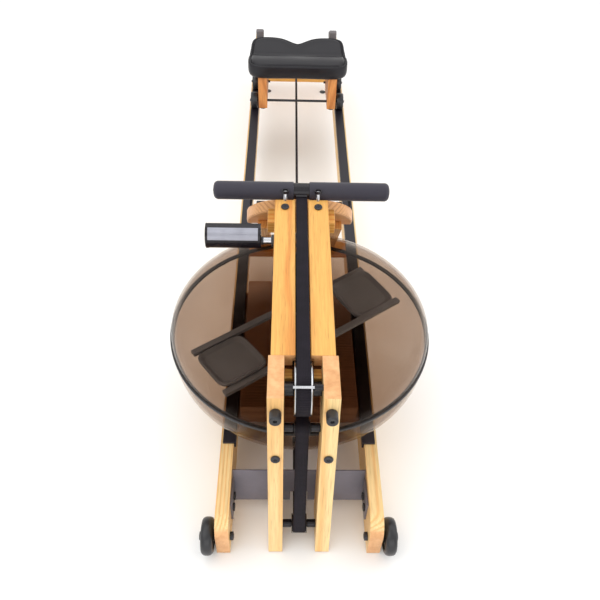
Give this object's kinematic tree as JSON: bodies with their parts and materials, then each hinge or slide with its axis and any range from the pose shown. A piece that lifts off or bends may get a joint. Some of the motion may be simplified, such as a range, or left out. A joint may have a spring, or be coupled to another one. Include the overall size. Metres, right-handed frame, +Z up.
{
  "type": "rowing machine",
  "caption": "Wooden rowing machine with a smoked round water tank, a belt-drawn handle, sloping rails, a rolling seat, an arched footboard and a tilting monitor.",
  "frame": {"origin": "on the floor under the middle of the whole machine", "axes": "+Z up, +Y along the rails towards the seat end, +X to the right of someone looking along +Y"},
  "size_m": [0.5599, 2.109, 0.4914],
  "materials": {
    "ash_wood": "satin oiled",
    "track_black": "satin",
    "stop_grey": "matte",
    "steel_black": "satin powder coat",
    "steel_bright": "polished",
    "rubber_black": "matte",
    "tank_smoke": "clear smoked",
    "rotor_grey": "satin",
    "pulley_black": "satin",
    "belt_webbing": "woven",
    "cord_black": "braided",
    "grip_foam": "textured matte",
    "seat_skin": "moulded satin",
    "monitor_shell": "dark anodised",
    "screen_glass": "gloss",
    "key_grey": "matte"
  },
  "bodies": {
    "frame": {"left_rail": "ash_wood", "right_rail": "ash_wood", "seat_tracks": "track_black", "end_stops": "stop_grey", "front_spacer": "steel_black", "rear_foot": "ash_wood", "floor_pads": "rubber_black", "left_leg": "ash_wood", "right_leg": "ash_wood", "leg_bumpers": "rubber_black", "socket_bolts": "steel_black", "left_beam": "ash_wood", "right_beam": "ash_wood", "cross_blocks": "ash_wood", "tank_deck": "ash_wood", "footboard": "ash_wood", "footboard_struts": "ash_wood", "strut_crossbar": "ash_wood", "foot_straps": "belt_webbing", "tank_lower_shell": "tank_smoke", "tank_upper_shell": "tank_smoke", "tank_gasket": "rubber_black", "shaft_bearings": "pulley_black", "pulley_axles": "steel_bright", "axle_collars": "pulley_black", "drive_belt": "belt_webbing", "recoil_strap": "belt_webbing", "recoil_cord": "cord_black", "cord_anchors": "steel_black", "handle_rest_pins": "steel_bright", "monitor_arm": "steel_black", "wheel_bolts": "steel_black"},
    "seat": {"seat_pad": "seat_skin", "left_carriage_side": "ash_wood", "right_carriage_side": "ash_wood", "carriage_cross_board": "ash_wood", "seat_axles": "steel_black", "carriage_bumpers": "rubber_black"},
    "front_left_seat_wheel": {"seat_wheel_front_left": "rubber_black"},
    "front_right_seat_wheel": {"seat_wheel_front_right": "rubber_black"},
    "rear_left_seat_wheel": {"seat_wheel_rear_left": "rubber_black"},
    "rear_right_seat_wheel": {"seat_wheel_rear_right": "rubber_black"},
    "left_wheel": {"left_transport_wheel": "rubber_black"},
    "right_wheel": {"right_transport_wheel": "rubber_black"},
    "handle": {"handle_core": "steel_bright", "handle_grips": "grip_foam", "belt_clasp": "steel_black"},
    "drum": {"top_pulley": "pulley_black"},
    "idler": {"idler_roller": "pulley_black"},
    "low_roller": {"lower_pulley": "pulley_black"},
    "spool": {"belt_spool": "pulley_black"},
    "rotor": {"rotor_shaft": "steel_bright", "rotor_paddle": "rotor_grey"},
    "monitor": {"monitor_housing": "monitor_shell", "monitor_screen": "screen_glass"},
    "key_upper": {"monitor_key_1": "key_grey"},
    "key_lower": {"monitor_key_2": "key_grey"},
    "left_heel": {"left_heel_rest": "pulley_black"},
    "right_heel": {"right_heel_rest": "pulley_black"},
    "plug": {"fill_plug": "rubber_black"}
  },
  "joints": [
    {"name": "seat_slide", "type": "slide", "parent": "frame", "child": "seat", "axis": [0, 0.9985, 0.0551], "range_m": [-0.66, 0.35]},
    {"name": "front_left_seat_wheel_spin", "type": "hinge", "parent": "seat", "child": "front_left_seat_wheel", "pos_m": [-0.1475, 0.45744, 0.21876], "axis": [1, 0, 0], "range_deg": [-747.7, 1405.6]},
    {"name": "front_right_seat_wheel_spin", "type": "hinge", "parent": "seat", "child": "front_right_seat_wheel", "pos_m": [0.1475, 0.45744, 0.21876], "axis": [1, 0, 0], "range_deg": [-747.7, 1405.6]},
    {"name": "rear_left_seat_wheel_spin", "type": "hinge", "parent": "seat", "child": "rear_left_seat_wheel", "pos_m": [-0.1475, 0.58525, 0.22581], "axis": [1, 0, 0], "range_deg": [-747.7, 1405.6]},
    {"name": "rear_right_seat_wheel_spin", "type": "hinge", "parent": "seat", "child": "rear_right_seat_wheel", "pos_m": [0.1475, 0.58525, 0.22581], "axis": [1, 0, 0], "range_deg": [-747.7, 1405.6]},
    {"name": "left_wheel_spin", "type": "hinge", "parent": "frame", "child": "left_wheel", "pos_m": [-0.182, -1.0175, 0.04], "axis": [1, 0, 0], "continuous": true},
    {"name": "right_wheel_spin", "type": "hinge", "parent": "frame", "child": "right_wheel", "pos_m": [0.182, -1.0175, 0.04], "axis": [1, 0, 0], "continuous": true},
    {"name": "handle_pull", "type": "slide", "parent": "frame", "child": "handle", "axis": [0, 0.996, 0.0891], "range_m": [0, 1.05], "stiffness_N_per_m": 30, "springref_m": -0.6},
    {"name": "drum_spin", "type": "hinge", "parent": "frame", "child": "drum", "pos_m": [0, -0.9105, 0.3835], "axis": [1, 0, 0], "range_deg": [-1304.4, 5]},
    {"name": "idler_spin", "type": "hinge", "parent": "frame", "child": "idler", "pos_m": [0, -0.9445, 0.315], "axis": [1, 0, 0], "range_deg": [-4528.4, 5]},
    {"name": "low_roller_spin", "type": "hinge", "parent": "frame", "child": "low_roller", "pos_m": [0, -0.9955, 0.051], "axis": [1, 0, 0], "range_deg": [-3482.5, 5]},
    {"name": "spool_spin", "type": "hinge", "parent": "frame", "child": "spool", "pos_m": [0, -0.6425, 0.385], "axis": [0, 0, 1], "range_deg": [-5, 1575.8]},
    {"name": "rotor_spin", "type": "hinge", "parent": "frame", "child": "rotor", "pos_m": [0, -0.6425, 0.25], "axis": [0, 0, 1], "continuous": true},
    {"name": "monitor_tilt", "type": "hinge", "parent": "frame", "child": "monitor", "pos_m": [-0.1, -0.5805, 0.444], "axis": [1, 0, 0], "range_deg": [-35, 35]},
    {"name": "key_upper_press", "type": "slide", "parent": "monitor", "child": "key_upper", "axis": [0, -1, 0], "range_m": [0, 0.0012], "stiffness_N_per_m": 300, "springref_m": -0.001},
    {"name": "key_lower_press", "type": "slide", "parent": "monitor", "child": "key_lower", "axis": [0, -1, 0], "range_m": [0, 0.0012], "stiffness_N_per_m": 300, "springref_m": -0.001},
    {"name": "left_heel_slide", "type": "slide", "parent": "frame", "child": "left_heel", "axis": [0, -0.6428, 0.766], "range_m": [-0.01, 0.05]},
    {"name": "right_heel_slide", "type": "slide", "parent": "frame", "child": "right_heel", "axis": [0, -0.6428, 0.766], "range_m": [-0.01, 0.05]},
    {"name": "plug_lift", "type": "slide", "parent": "frame", "child": "plug", "axis": [0, 0, 1], "range_m": [0, 0.03]}
  ],
  "couplings": [
    {"joint": "drum_spin", "follows": "handle_pull", "rad_per_m": -21.598},
    {"joint": "idler_spin", "follows": "handle_pull", "rad_per_m": -75.188},
    {"joint": "low_roller_spin", "follows": "handle_pull", "rad_per_m": -57.803},
    {"joint": "spool_spin", "follows": "handle_pull", "rad_per_m": 26.11},
    {"joint": "front_left_seat_wheel_spin", "follows": "seat_slide", "rad_per_m": -37.037},
    {"joint": "front_right_seat_wheel_spin", "follows": "seat_slide", "rad_per_m": -37.037},
    {"joint": "rear_left_seat_wheel_spin", "follows": "seat_slide", "rad_per_m": -37.037},
    {"joint": "rear_right_seat_wheel_spin", "follows": "seat_slide", "rad_per_m": -37.037}
  ]
}
